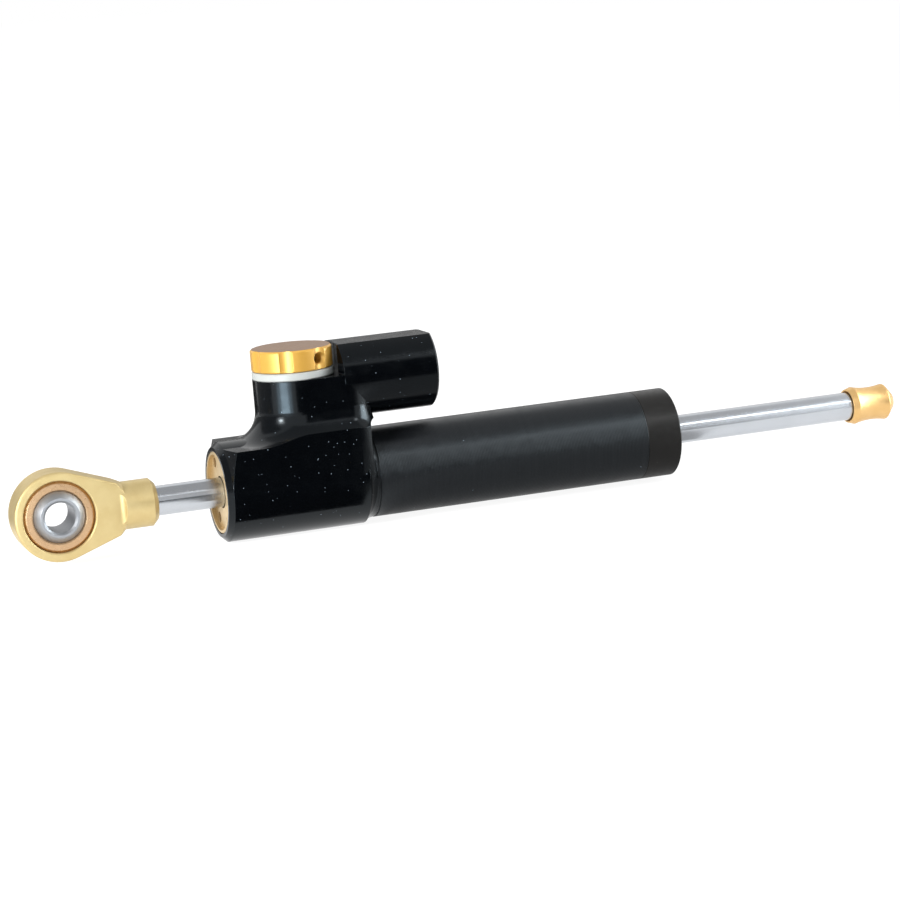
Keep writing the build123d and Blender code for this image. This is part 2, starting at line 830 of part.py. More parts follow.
def adjuster_spindle():
    """The spindle under the knob, with a collar that holds it down and a square socket below."""
    shaft = turned(
        tower_axis,
        (spindle_bottom, 0),
        (spindle_top, 0),
        (spindle_top, spindle_radius - edge_break),
        (spindle_top - edge_break, spindle_radius),
        (spindle_bottom + spindle_collar_length, spindle_radius),
        (spindle_bottom + spindle_collar_length, spindle_collar_radius),
        (spindle_bottom, spindle_collar_radius),
    )
    side = needle_tang_side + 2 * slide_gap
    depth = spindle_socket_depth + overrun
    socket = Pos(0, 0, spindle_bottom + spindle_socket_depth - depth / 2) * Box(side, side, depth)
    return shaft - tower_axis * socket


def spindle_seal_level():
    """The height of the seal on the spindle."""
    return (valve_bush_shoulder + tower_height) / 2


def valve_bush_seal_level():
    """The height of the seal round the valve bush."""
    return valve_bush_bottom + valve_bush_length / 5


def valve_bush():
    """The threaded bush in the tower that carries the spindle and the needle."""
    bush = turned(
        tower_axis,
        (valve_bush_bottom, spindle_collar_radius + seat_gap),
        (valve_bush_shoulder, spindle_collar_radius + seat_gap),
        (valve_bush_shoulder, spindle_radius + slide_gap),
        (tower_height, spindle_radius + slide_gap),
        (tower_height, valve_bush_radius),
        (valve_bush_bottom, valve_bush_radius),
    )
    bush -= groove_on_shaft(
        tower_axis, valve_bush_seal_level(), valve_bush_radius + seat_gap, small_cord_radius
    )
    return bush - groove_in_bore(tower_axis, spindle_seal_level(), spindle_radius, small_cord_radius)


def needle_seal_level():
    """The height of the seal on the needle."""
    return needle_bottom + needle_length / 2


def valve_needle():
    """The needle: a threaded body, a square tang in the spindle's socket and a tapered tip."""
    body_radius = spindle_collar_radius
    needle = turned(
        tower_axis,
        (needle_stem_end - needle_tip_length, 0),
        (needle_top, 0),
        (needle_top, body_radius),
        (needle_bottom, body_radius),
        (needle_bottom, needle_stem_radius),
        (needle_stem_end, needle_stem_radius),
        (needle_stem_end - needle_tip_length, needle_tip_radius),
    )
    needle -= groove_on_shaft(
        tower_axis, needle_seal_level(), spindle_collar_radius + seat_gap, small_cord_radius
    )
    tang = Box(needle_tang_side, needle_tang_side, needle_tang_length)
    return needle + tower_axis * Pos(0, 0, needle_top + needle_tang_length / 2) * tang


def needle_seat():
    """The jet that the needle closes."""
    return ring(tower_axis, valve_seat_bottom, valve_seat_top, valve_seat_radius, valve_seat_bore_radius)


def floating_piston():
    """The piston that parts oil from gas in the reservoir, hollow on its gas side."""
    start = separator_station - separator_length / 2
    end = start + separator_length
    radius = reservoir_bore_radius - slide_gap
    cup = turned(
        reservoir_axis,
        (start, 0),
        (start + separator_wall, 0),
        (start + separator_wall, radius / 2),
        (end, radius / 2),
        (end, radius - edge_break),
        (end - edge_break, radius),
        (start + edge_break, radius),
        (start, radius - edge_break),
    )
    return cup - groove_on_shaft(reservoir_axis, separator_station, reservoir_bore_radius, cord_radius)


def plug_seal_station():
    """Where the seal round the plug lies."""
    return (plug_start + plug_end) / 2


def reservoir_plug():
    """The plug that closes the reservoir, with pin holes and a tapped hole for the filling screw."""
    radius = reservoir_bore_radius - seat_gap
    bore = fill_screw_radius + seat_gap
    plug = broken_ring(reservoir_axis, plug_start, plug_end, radius, bore, edge_break)
    plug -= groove_on_shaft(reservoir_axis, plug_seal_station(), reservoir_bore_radius, cord_radius)
    pin = Cylinder(plug_pin_radius, 2 * plug_pin_depth)
    holes = PolarLocations(plug_pin_circle_radius, 2)
    return plug - [reservoir_axis * Pos(0, 0, plug_end) * hole * pin for hole in holes]


def fill_screw():
    """The screw that closes the filling hole."""
    start = plug_end - fill_screw_length
    screw = broken_ring(reservoir_axis, start, plug_end, fill_screw_radius, 0, edge_break)
    return screw - reservoir_axis * key_hole(plug_end)


def all_parts():
    """Every separate piece of the damper by its name."""
    return {
        "head_body": head_body(),
        "tube": tube(),
        "inner_sleeve": inner_sleeve(),
        "tube_end_cap": tube_end_cap(),
        "gland": gland(),
        "gland_o_ring": seal_in_bore(left_end, gland_seal_depth(), gland_radius + seat_gap, cord_radius),
        "end_cap_o_ring": seal_in_bore(right_end, end_cap_seal_depth(), tube_bore_radius, cord_radius),
        "tube_o_ring": seal_on_shaft(rod_axis, tube_seal_station(), tube_spigot_radius, small_cord_radius),
        "wiper_left": wiper(left_end, gland_dish_depth),
        "wiper_right": wiper(right_end, 0),
        "rod_seal_left": rod_seal(left_end, gland_dish_depth),
        "rod_seal_right": rod_seal(right_end, 0),
        "guide_bush_left": guide_bush(left_end, gland_dish_depth),
        "guide_bush_right": guide_bush(right_end, 0),
        "rod": rod(),
        "piston": piston(),
        "piston_circlips": piston_circlips(),
        "piston_o_ring": piston_seal(),
        "piston_band": piston_band(),
        "rod_eye": rod_eye(),
        "bearing_race": bearing_race(),
        "bearing_ball": bearing_ball(),
        "rod_stop_cap": rod_stop_cap(),
        "indicator_ring": indicator_ring(),
        "knob": knob(),
        "knob_set_screw": knob_set_screw(),
        "click_plunger": click_plunger(),
        "click_ball": click_ball(),
        "adjuster_spindle": adjuster_spindle(),
        "spindle_o_ring": seal_on_shaft(tower_axis, spindle_seal_level(), spindle_radius, small_cord_radius),
        "valve_bush": valve_bush(),
        "valve_bush_o_ring": seal_in_bore(
            tower_axis, valve_bush_seal_level(), valve_bush_radius + seat_gap, small_cord_radius
        ),
        "valve_needle": valve_needle(),
        "needle_o_ring": seal_in_bore(
            tower_axis, needle_seal_level(), spindle_collar_radius + seat_gap, small_cord_radius
        ),
        "needle_seat": needle_seat(),
        "floating_piston": floating_piston(),
        "floating_piston_o_ring": seal_in_bore(
            reservoir_axis, separator_station, reservoir_bore_radius, cord_radius
        ),
        "reservoir_plug": reservoir_plug(),
        "plug_o_ring": seal_in_bore(reservoir_axis, plug_seal_station(), reservoir_bore_radius, cord_radius),
        "fill_screw": fill_screw(),
    }


os.makedirs("parts", exist_ok=True)
for name, piece in all_parts().items():
    export_step(Pos(-clamp_station, 0, 0) * piece, f"parts/{name}.step")
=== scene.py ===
import math

import bpy
from mathutils import Matrix, Vector


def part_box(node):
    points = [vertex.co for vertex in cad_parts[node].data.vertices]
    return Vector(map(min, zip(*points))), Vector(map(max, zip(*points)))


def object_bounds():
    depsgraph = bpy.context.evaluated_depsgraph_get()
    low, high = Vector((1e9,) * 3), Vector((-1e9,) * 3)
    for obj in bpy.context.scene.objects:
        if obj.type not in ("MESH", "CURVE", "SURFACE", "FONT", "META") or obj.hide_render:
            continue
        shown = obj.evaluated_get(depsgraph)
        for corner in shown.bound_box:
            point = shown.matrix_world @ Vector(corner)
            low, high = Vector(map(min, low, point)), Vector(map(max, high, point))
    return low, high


# The looks of a steering damper: gloss and satin black anodised aluminium, gold anodised fittings,
# a hard chromed rod and a spherical bearing. Lengths are in metres, in the frame of the solids.

MM = 0.001

# Camera, at the photograph's place
CAMERA_PLACE = (-0.255865, -0.705787, 0.130121)
CAMERA_TURN = math.radians(18.143)
CAMERA_DIP = math.radians(9.718)
CAMERA_ROLL = math.radians(4.576)
CAMERA_LENS = 110.03
CAMERA_SENSOR = 36.0
CAMERA_NEAR = 0.01
CAMERA_FAR = 50.0

# Floor and room
FLOOR_GAP = 0.1 * MM
FLOOR_SIDE = 60.0
FLOOR_SHADE = 0.8
FLOOR_GLOW = 0.9
FLOOR_SHADOW = 0.25
ROOM_FILL = 0.42
WHITE = (1, 1, 1)
COOL_WHITE = (0.85, 0.95, 1.0)
COLD_WHITE = (0.75, 0.9, 1.0)

# Soft lights, with directions in degrees; the key light's main part doesn't show in the shine
LIGHTS = {
    "key": dict(azimuth=-62, elevation=16, distance=0.95, size=(0.26, 0.34), radiance=34.0, glossy=False),
    "key_front": dict(azimuth=-62, elevation=16, distance=0.94, size=(0.26, 0.34), radiance=6.0),
    "key_core": dict(azimuth=-62, elevation=16, distance=0.93, size=(0.1, 0.12), radiance=55.0),
    "top": dict(azimuth=25, elevation=84, distance=1.1, size=(0.9, 0.7), radiance=2.6, glossy=False),
    "side": dict(azimuth=66, elevation=22, distance=1.2, size=(0.3, 0.5), radiance=9.0),
}

# Dark cards in front of the damper, under it and behind it, by corners on the floor or across and up
FRONT_DISTANCE = 0.6
FRONT_CORNERS = ((-0.06, 0), (0.29, 0), (0.29, 0.4333), (0.06, 0.4333), (0.05, 0.0633), (-0.06, 0.0633))
FRONT_RADIANCE = 0.02
APRON_CORNERS = (
    (-0.092, -0.0145),
    (-0.052, -0.0145),
    (-0.016, -0.12),
    (0.15, -0.16),
    (0.3, -0.62),
    (-0.2, -0.62),
    (-0.115, -0.24),
    (-0.085, -0.15),
)
APRON_RADIANCE = 0.03
REAR_CORNERS = ((-0.2, 0.13), (-0.02, 0.13), (0.02, 0.4), (-0.25, 0.4))
REAR_RADIANCE = 0.05

# Grey cards under the tube, at the left, behind the damper and above it
TUBE_CORNERS = ((-0.048, 0), (0.052, 0), (0.09, -0.13), (-0.012, -0.13))
TUBE_RADIANCE = 0.5
WING_CORNERS = ((-0.185, -0.02), (-0.56, -0.085), (-0.387, 0.385), (-0.144, 0.092))
WING_RADIANCE = 0.3
BACK_START, BACK_END = (-0.9, 0.7), (1.1, 0.7)
BACK_HEIGHT = 0.1833
BACK_RADIANCE = 0.24
WALL_START, WALL_END = (-0.9, -0.35), (-0.9, 0.7)
WALL_HEIGHT = 1.0133
WALL_RADIANCE = 0.3
SKY_CORNERS = ((-0.6, -1.0), (0.5, -1.0), (0.5, 0.6), (-0.6, 0.6))
SKY_HEIGHT = 0.9133
SKY_RADIANCE = 0.5

# Bright cards for the stripe on the tower and its core, the edges at the right and the line on the rod
LEFT_CORNERS = ((-0.166, -0.048), (-0.445, -0.184), (-0.235, -0.389), (-0.131, -0.158))
LEFT_RADIANCE = 5.0
CORE_CORNERS = ((-0.19, -0.09), (-0.4, -0.24), (-0.285, -0.33), (-0.16, -0.16))
CORE_RADIANCE = 16.0
RIGHT_START, RIGHT_END = (0.383, -0.26), (0.45, -0.03)
RIGHT_HEIGHT = 0.3633
RIGHT_RADIANCE = 11.0
BAR_LEFT, BAR_RIGHT = 0.3, 0.46
BAR_FRONT, BAR_REAR = -0.66, -0.59
BAR_LOW, BAR_HIGH = 0.6233, 0.6983
BAR_RADIANCE = 9.0

# Noise, which stays mostly between two values, and its octaves
NOISE_LOW, NOISE_HIGH = 0.3, 0.7
FEW, SOME, MANY, MOST = 2, 3, 4, 5
SPECK_SHARE = 0.12
EDGE_SAMPLES = 6

# Weights of the three axes
ALL_ALIKE = (1, 1, 1)
ONLY_X = (1, 0, 0)
FROM_Z_AXIS = (1, 1, 0)
FROM_Y_AXIS = (1, 0, 1)
ROUND_X = (1, 0.02, 0.02)
DRAWN_ALONG_X = (0.15, 1, 1)
DRAWN_ALONG_Z = (1, 1, 0.12)

# Turn of the streak in the shine of turned metal, of a whole turn
QUARTER_TURN = 0.25

# Gloss black of the head
HEAD_BLACKS = ((0.0004, 0.0007, 0.0012), (0.0012, 0.0016, 0.0023))
HEAD_SPECULAR = 0.3
HEAD_TINT = (0.84, 0.94, 1.0, 1)
HEAD_ROUGHNESS = (0.13, 0.2)
HEAD_CLOUD = 6 * MM
HEAD_PATCH = 2.5 * MM
HEAD_MARK = 0.5 * MM
HEAD_MARK_DEPTH = 0.0025 * MM
HEAD_GRAIN = 0.22 * MM
HEAD_GRAIN_DEPTH = 0.004 * MM
HEAD_EDGE = 0.16 * MM
HEAD_DUST = 1.1 * MM
HEAD_DUST_AMOUNT = 0.4
DUST_GREY = (0.2, 0.25, 0.3)

# Satin black of the tube, with its turned rings
TUBE_BLACKS = ((0.004, 0.0045, 0.0055), (0.009, 0.01, 0.0115))
TUBE_SPECULAR = 0.34
TUBE_TINT = (0.86, 0.95, 1.0, 1)
TUBE_STREAK = 0.8
TUBE_ROUGHNESS = (0.3, 0.38)
TUBE_PATCH = 3 * MM
TUBE_RING_PITCH = 0.42 * MM
TUBE_RING_DEPTH = 0.02 * MM
TUBE_RING_WANDER = 0.1 * MM
TUBE_WANDER = 9 * MM
TUBE_COARSE = 0.35 * MM
TUBE_COARSE_DEPTH = 0.012 * MM
TUBE_EDGE = 0.12 * MM
TUBE_DUST = 1.6 * MM
TUBE_DUST_AMOUNT = 0.1

# Smooth black of the end cap and the reservoir's plug
CAP_BLACKS = ((0.0055, 0.0052, 0.005), (0.0105, 0.0096, 0.0088))
CAP_SPECULAR = 0.28
CAP_ROUGHNESS = (0.3, 0.38)
CAP_CLOUD = 5 * MM
CAP_PATCH = 1.5 * MM
CAP_TURNING = 0.12 * MM
CAP_TURNING_DEPTH = 0.0035 * MM
CAP_GRAIN = 0.25 * MM
CAP_GRAIN_DEPTH = 0.003 * MM
CAP_EDGE = 0.14 * MM
CAP_DUST = 1.6 * MM
CAP_DUST_AMOUNT = 0.08
CAP_DUST_GREY = (0.09, 0.09, 0.09)

# Satin gold of the eye, the stop cap and the gland
GOLD_METALLIC = 0.75
GOLD_CLOUD = 4 * MM
GOLD_CLOUD_SHARE = 0.6
GOLD_PATCH = 1.2 * MM
GOLD_GRAIN = 0.25 * MM
GOLD_GRAIN_SHARE = 0.35
GOLD_ROUGHNESS_SPREAD = 0.05
EYE_GOLDS = ((0.66, 0.525, 0.258), (0.585, 0.446, 0.203))
EYE_ROUGHNESS = 0.42
EYE_GRAIN_DEPTH = 0.006 * MM
STOP_CAP_GOLDS = ((0.78, 0.51, 0.22), (0.72, 0.45, 0.172))
STOP_CAP_ROUGHNESS = 0.4
TURNED_GRAIN_DEPTH = 0.004 * MM
GOLD_EDGE = 0.25 * MM
GLAND_GOLDS = ((0.69, 0.53, 0.3), (0.63, 0.465, 0.245))
GLAND_METALLIC = 0.8
GLAND_ROUGHNESS = 0.38
GLAND_EDGE = 0.04 * MM

# Bright gold of the knob, and painted shade on its top: a darker, browner gold there
KNOB_GOLDS = ((0.70, 0.39, 0.066), (0.67, 0.37, 0.058))
KNOB_TOP_PAINTED_SHADE_GOLDS = ((0.224, 0.125, 0.065), (0.257, 0.146, 0.079))
KNOB_METALLIC = 0.42
KNOB_SPECULAR = 1.0
KNOB_ROUGHNESS = (0.29, 0.33)
KNOB_TOP_ROUGHER = 0.12
KNOB_TOP_DEPTH = 0.05 * MM
KNOB_SIDE_CLOUD = 0.8 * MM
KNOB_TOP_CLOUD = 1.5 * MM
KNOB_PATCH = 1 * MM
KNOB_RING_PITCH = 0.3 * MM
KNOB_RING_DEPTH = 0.006 * MM
KNOB_GRAIN = 0.35 * MM
KNOB_GRAIN_DEPTH = 0.001 * MM
KNOB_EDGE = 0.2 * MM

# Chrome of the rod
CHROMES = ((0.50, 0.525, 0.56), (0.58, 0.605, 0.64))
CHROME_STREAK = 0.85
CHROME_ROUGHNESS = (0.17, 0.23)
CHROME_CLOUD = 8 * MM
CHROME_LINE = 0.1 * MM
CHROME_LINE_DEPTH = 0.0012 * MM

# Steel, brass and bare aluminium
BALL_STEEL = (0.42, 0.43, 0.45)
DARK_STEEL = (0.10, 0.10, 0.105)
VALVE_STEEL = (0.52, 0.52, 0.54)
VALVE_BRASS = (0.70, 0.50, 0.22)
BARE_ALUMINIUM = (0.62, 0.62, 0.64)
BALL_ROUGHNESS = 0.48
DARK_ROUGHNESS = 0.35
VALVE_ROUGHNESS = 0.3
BARE_ROUGHNESS = 0.34
STEEL_DARKER_SHARE = 0.82
STEEL_ROUGHNESS_SPREAD = 0.06
STEEL_CLOUD = 1.4 * MM
STEEL_PATCH = 0.5 * MM
STEEL_GRAIN = 0.16 * MM
STEEL_GRAIN_DEPTH = 0.004 * MM
STEEL_EDGE = 0.15 * MM

# Bronze of the race and the bushes
BRONZES = ((0.67, 0.445, 0.26), (0.56, 0.355, 0.195))
BRONZE_METALLIC = 0.95
BRONZE_ROUGHNESS = (0.26, 0.36)
BRONZE_CLOUD = 1.3 * MM
BRONZE_PATCH = 0.8 * MM
BRONZE_RING_PITCH = 0.25 * MM
BRONZE_RING_DEPTH = 0.006 * MM
BRONZE_EDGE = 0.3 * MM

# Plastic and rubber
RING_WHITES = ((0.39, 0.41, 0.4), (0.355, 0.375, 0.365))
WIPER_BLUES = ((0.05, 0.10, 0.22), (0.04, 0.08, 0.18))
BAND_BROWNS = ((0.20, 0.12, 0.07), (0.15, 0.09, 0.05))
SEAL_BLACKS = ((0.012, 0.012, 0.012), (0.02, 0.02, 0.02))
RING_ROUGHNESS = 0.4
WIPER_ROUGHNESS = 0.45
RUBBED_ROUGHNESS = 0.5
PLASTIC_SPECULAR = 0.4
PLASTIC_ROUGHNESS_SPREAD = 0.06
PLASTIC_CLOUD = 2.5 * MM
PLASTIC_PATCH = 0.8 * MM
PLASTIC_GRAIN = 0.3 * MM
PLASTIC_GRAIN_DEPTH = 0.006 * MM
PLASTIC_EDGE = 0.15 * MM

SEALS = (
    "gland_o_ring",
    "end_cap_o_ring",
    "tube_o_ring",
    "rod_seal_left",
    "rod_seal_right",
    "piston_o_ring",
    "spindle_o_ring",
    "valve_bush_o_ring",
    "needle_o_ring",
    "floating_piston_o_ring",
    "plug_o_ring",
)


def set_camera():
    """The camera stands where the photograph's perspective puts it."""
    data = bpy.data.cameras.new("camera")
    data.lens = CAMERA_LENS
    data.sensor_width = CAMERA_SENSOR
    data.clip_start = CAMERA_NEAR
    data.clip_end = CAMERA_FAR
    camera = bpy.data.objects.new("camera", data)
    bpy.context.scene.collection.objects.link(camera)
    turn, dip = CAMERA_TURN, CAMERA_DIP
    ahead = Vector((math.sin(turn) * math.cos(dip), math.cos(turn) * math.cos(dip), -math.sin(dip)))
    level = Vector((math.cos(turn), -math.sin(turn), 0))
    upright = level.cross(ahead)
    right = level * math.cos(CAMERA_ROLL) - upright * math.sin(CAMERA_ROLL)
    up = level * math.sin(CAMERA_ROLL) + upright * math.cos(CAMERA_ROLL)
    rotation = Matrix((right, up, -ahead)).transposed()
    camera.matrix_world = Matrix.Translation(CAMERA_PLACE) @ rotation.to_4x4()
    bpy.context.scene.camera = camera


def direction(azimuth, elevation):
    """A unit vector: azimuth 0 points to the front, and positive azimuth to the stop cap's side."""
    a, e = math.radians(azimuth), math.radians(elevation)
    return Vector((math.sin(a) * math.cos(e), -math.cos(a) * math.cos(e), math.sin(e)))


def softbox(name, azimuth, elevation, distance, size, radiance, glossy=True):
    """A rectangular soft light that faces the damper, and shows in the shine only if glossy."""
    data = bpy.data.lights.new(name, "AREA")
    data.shape = "RECTANGLE"
    data.size, data.size_y = size
    data.energy = radiance * math.pi * size[0] * size[1]
    light = bpy.data.objects.new(name, data)
    bpy.context.scene.collection.objects.link(light)
    away = direction(azimuth, elevation)
    facing = away.to_track_quat("Z", "Y").to_matrix().to_4x4()
    light.matrix_world = Matrix.Translation(away * distance) @ facing
    light.visible_camera = False
    light.visible_glossy = glossy


def seen_directly(nodes):
    """1 for rays that show the background: camera, glossy and transmission rays."""
    path = nodes.new("ShaderNodeLightPath")
    links = path.id_data.links
    seen = path.outputs["Is Camera Ray"]
    for kind in ("Is Glossy Ray", "Is Transmission Ray"):
        either = nodes.new("ShaderNodeMath")
        either.operation = "MAXIMUM"
        links.new(seen, either.inputs[0])
        links.new(path.outputs[kind], either.inputs[1])
        seen = either.outputs[0]
    return seen


def cleared(tree):
    """The nodes and links of a node tree, with its nodes taken out."""
    tree.nodes.clear()
    return tree.nodes, tree.links


def set_world():
    """A white background that lights the damper only gently."""
    world = bpy.data.worlds.new("studio")
    bpy.context.scene.world = world
    world.use_nodes = True
    nodes, links = cleared(world.node_tree)
    fill = nodes.new("ShaderNodeBackground")
    fill.inputs["Strength"].default_value = ROOM_FILL
    white = nodes.new("ShaderNodeBackground")
    mix = nodes.new("ShaderNodeMixShader")
    for background in (fill, white):
        background.inputs["Color"].default_value = (*WHITE, 1)
    links.new(seen_directly(nodes), mix.inputs[0])
    links.new(fill.outputs[0], mix.inputs[1])
    links.new(white.outputs[0], mix.inputs[2])
    links.new(mix.outputs[0], nodes.new("ShaderNodeOutputWorld").inputs[0])


def set_floor(level):
    """A pale floor that keeps a soft shadow."""
    bpy.ops.mesh.primitive_plane_add(size=FLOOR_SIDE, location=(0, 0, level))
    floor = bpy.context.object
    floor.name = "floor"
    material = bpy.data.materials.new("floor")
    material.use_nodes = True
    nodes, links = cleared(material.node_tree)
    plain = nodes.new("ShaderNodeBsdfDiffuse")
    plain.inputs["Color"].default_value = (FLOOR_SHADE, FLOOR_SHADE, FLOOR_SHADE, 1)
    shaded = nodes.new("ShaderNodeBsdfDiffuse")
    shaded.inputs["Color"].default_value = (FLOOR_SHADOW, FLOOR_SHADOW, FLOOR_SHADOW, 1)
    glow = nodes.new("ShaderNodeEmission")
    glow.inputs["Strength"].default_value = FLOOR_GLOW
    both = nodes.new("ShaderNodeAddShader")
    mix = nodes.new("ShaderNodeMixShader")
    links.new(shaded.outputs[0], both.inputs[0])
    links.new(glow.outputs[0], both.inputs[1])
    links.new(seen_directly(nodes), mix.inputs[0])
    links.new(plain.outputs[0], mix.inputs[1])
    links.new(both.outputs[0], mix.inputs[2])
    links.new(mix.outputs[0], nodes.new("ShaderNodeOutputMaterial").inputs[0])
    floor.data.materials.append(material)


def lying(corners, height=0.0):
    """The corners of a level card."""
    return [(x, y, height) for x, y in corners]


def standing(start, end, height):
    """The corners of an upright card over the line between two places on the floor."""
    return [(*start, 0), (*end, 0), (*end, height), (*start, height)]


def card(name, level, corners, radiance, colour=WHITE):
    """A flat glowing card that only glossy rays see, its corners' heights measured from a level."""
    mesh = bpy.data.meshes.new(name)
    mesh.from_pydata([(x, y, level + height) for x, y, height in corners], [], [range(len(corners))])
    board = bpy.data.objects.new(name, mesh)
    bpy.context.scene.collection.objects.link(board)
    board.visible_camera = False
    board.visible_diffuse = False
    board.visible_transmission = False
    board.visible_shadow = False
    material = bpy.data.materials.new(name)
    material.use_nodes = True
    nodes, links = cleared(material.node_tree)
    glow = nodes.new("ShaderNodeEmission")
    glow.inputs["Color"].default_value = (*colour, 1)
    glow.inputs["Strength"].default_value = radiance
    links.new(glow.outputs[0], nodes.new("ShaderNodeOutputMaterial").inputs[0])
    mesh.materials.append(material)


def set_cards(low):
    """Cards as in a product studio: the shine of the metal sees dark, grey and bright fields."""
    front = [(across, -FRONT_DISTANCE, up) for across, up in FRONT_CORNERS]
    bar = (
        (BAR_LEFT, BAR_FRONT, BAR_LOW),
        (BAR_RIGHT, BAR_FRONT, BAR_LOW),
        (BAR_RIGHT, BAR_REAR, BAR_HIGH),
        (BAR_LEFT, BAR_REAR, BAR_HIGH),
    )
    card("front_card", low, front, FRONT_RADIANCE)
    card("apron_card", low, lying(APRON_CORNERS), APRON_RADIANCE)
    card("tube_card", low, lying(TUBE_CORNERS), TUBE_RADIANCE)
    card("wing_card", low, lying(WING_CORNERS), WING_RADIANCE)
    card("rear_card", low, lying(REAR_CORNERS), REAR_RADIANCE)
    card("back_card", low, standing(BACK_START, BACK_END, BACK_HEIGHT), BACK_RADIANCE)
    card("left_card", low, lying(LEFT_CORNERS), LEFT_RADIANCE, COLD_WHITE)
    card("core_card", low, lying(CORE_CORNERS, FLOOR_GAP), CORE_RADIANCE, COLD_WHITE)
    card("right_card", low, standing(RIGHT_START, RIGHT_END, RIGHT_HEIGHT), RIGHT_RADIANCE, COOL_WHITE)
    card("wall_card", low, standing(WALL_START, WALL_END, WALL_HEIGHT), WALL_RADIANCE)
    card("sky_card", low, lying(SKY_CORNERS, SKY_HEIGHT), SKY_RADIANCE)
    card("bar_card", low, bar, BAR_RADIANCE)


class Finish:
    """A material, with short calls for the nodes that feed its shader."""

    def __init__(self, name, **settings):
        self.material = bpy.data.materials.new(name)
        self.material.use_nodes = True
        self.nodes = self.material.node_tree.nodes
        self.links = self.material.node_tree.links
        self.shader = self.nodes["Principled BSDF"]
        self.place = self.nodes.new("ShaderNodeTexCoord").outputs["Object"]
        for socket, value in settings.items():
            self.shader.inputs[socket.replace("_", " ")].default_value = value

    def put(self, socket, value):
        """Sets a socket, by a link where the value is another node's output."""
        if isinstance(value, bpy.types.NodeSocket):
            self.links.new(value, socket)
        elif isinstance(value, tuple) and len(value) == 3 and socket.type == "RGBA":
            socket.default_value = (*value, 1)
        else:
            socket.default_value = value

    def feed(self, socket, value):
        """Sets one of the shader's own sockets."""
        self.put(self.shader.inputs[socket], value)

    def math(self, operation, *values):
        """The result of an operation on numbers."""
        node = self.nodes.new("ShaderNodeMath")
        node.operation = operation
        for socket, value in zip(node.inputs, values):
            self.put(socket, value)
        return node.outputs[0]

    def vector(self, operation, *values):
        """The node of an operation on vectors."""
        node = self.nodes.new("ShaderNodeVectorMath")
        node.operation = operation
        for socket, value in zip(node.inputs, values):
            self.put(socket, value)
        return node

    def along(self, axis):
        """The place along an axis."""
        node = self.nodes.new("ShaderNodeSeparateXYZ")
        self.put(node.inputs[0], self.place)
        return node.outputs[axis]

    def distance_from(self, point, weights):
        """The distance from a point, with each axis weighed by its own factor."""
        offset = self.vector("SUBTRACT", self.place, point).outputs[0]
        weighed = self.vector("MULTIPLY", offset, weights).outputs[0]
        return self.vector("LENGTH", weighed).outputs["Value"]

    def noise(self, size, detail, stretch=ALL_ALIKE):
        """Noise of about 0 to 1, with features of a size in metres."""
        node = self.nodes.new("ShaderNodeTexNoise")
        self.put(node.inputs["Vector"], self.vector("MULTIPLY", self.place, stretch).outputs[0])
        self.put(node.inputs["Scale"], 1 / size)
        self.put(node.inputs["Detail"], detail)
        return node.outputs["Fac"]

    def specks(self, size, amount):
        """1 on a few scattered specks, 0 elsewhere."""
        cells = self.nodes.new("ShaderNodeTexVoronoi")
        self.put(cells.inputs["Vector"], self.place)
        self.put(cells.inputs["Scale"], 1 / size)
        pick = self.nodes.new("ShaderNodeSeparateColor")
        self.put(pick.inputs[0], cells.outputs["Color"])
        chosen = self.math("LESS_THAN", pick.outputs[0], amount)
        reach = self.math("MULTIPLY", pick.outputs[1], SPECK_SHARE)
        small = self.math("LESS_THAN", cells.outputs["Distance"], reach)
        return self.math("MULTIPLY", chosen, small)

    def spread(self, noise, at_low, at_high):
        """A value that follows noise smoothly from at_low to at_high."""
        node = self.nodes.new("ShaderNodeMapRange")
        node.interpolation_type = "SMOOTHSTEP"
        for socket, number in zip(node.inputs, (noise, NOISE_LOW, NOISE_HIGH, at_low, at_high)):
            self.put(socket, number)
        return node.outputs[0]

    def mix(self, share, first, second):
        """A mix of two colours."""
        node = self.nodes.new("ShaderNodeMix")
        node.data_type = "RGBA"
        colours = [socket for socket in node.inputs if socket.type == "RGBA"]
        self.put(node.inputs[0], share)
        self.put(colours[0], first)
        self.put(colours[1], second)
        return next(socket for socket in node.outputs if socket.type == "RGBA")

    def round_edges(self, radius):
        """A normal that rounds sharp edges."""
        node = self.nodes.new("ShaderNodeBevel")
        node.samples = EDGE_SAMPLES
        self.put(node.inputs["Radius"], radius)
        return node.outputs[0]

    def bump(self, height, depth, normal=None):
        """A normal that raises a height pattern by a depth in metres."""
        node = self.nodes.new("ShaderNodeBump")
        self.put(node.inputs["Strength"], 1.0)
        self.put(node.inputs["Distance"], depth)
        self.put(node.inputs["Height"], height)
        if normal is not None:
            self.put(node.inputs["Normal"], normal)
        return node.outputs[0]

    def rings(self, value, pitch):
        """Turned rings, 0 to 1, of a pitch along a value."""
        wave = self.math("SINE", self.math("MULTIPLY", value, 2 * math.pi / pitch))
        return self.math("MULTIPLY_ADD", wave, 0.5, 0.5)

    def turn_tangent(self):
        """Makes the shine spread along the damper, as fine rings round its axis do."""
        tangent = self.nodes.new("ShaderNodeTangent")
        tangent.direction_type = "RADIAL"
        tangent.axis = "X"
        self.feed("Tangent", tangent.outputs[0])
        self.feed("Anisotropic Rotation", QUARTER_TURN)


def middle(node):
    """The middle of a node's box."""
    low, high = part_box(node)
    return tuple((a + b) / 2 for a, b in zip(low, high))


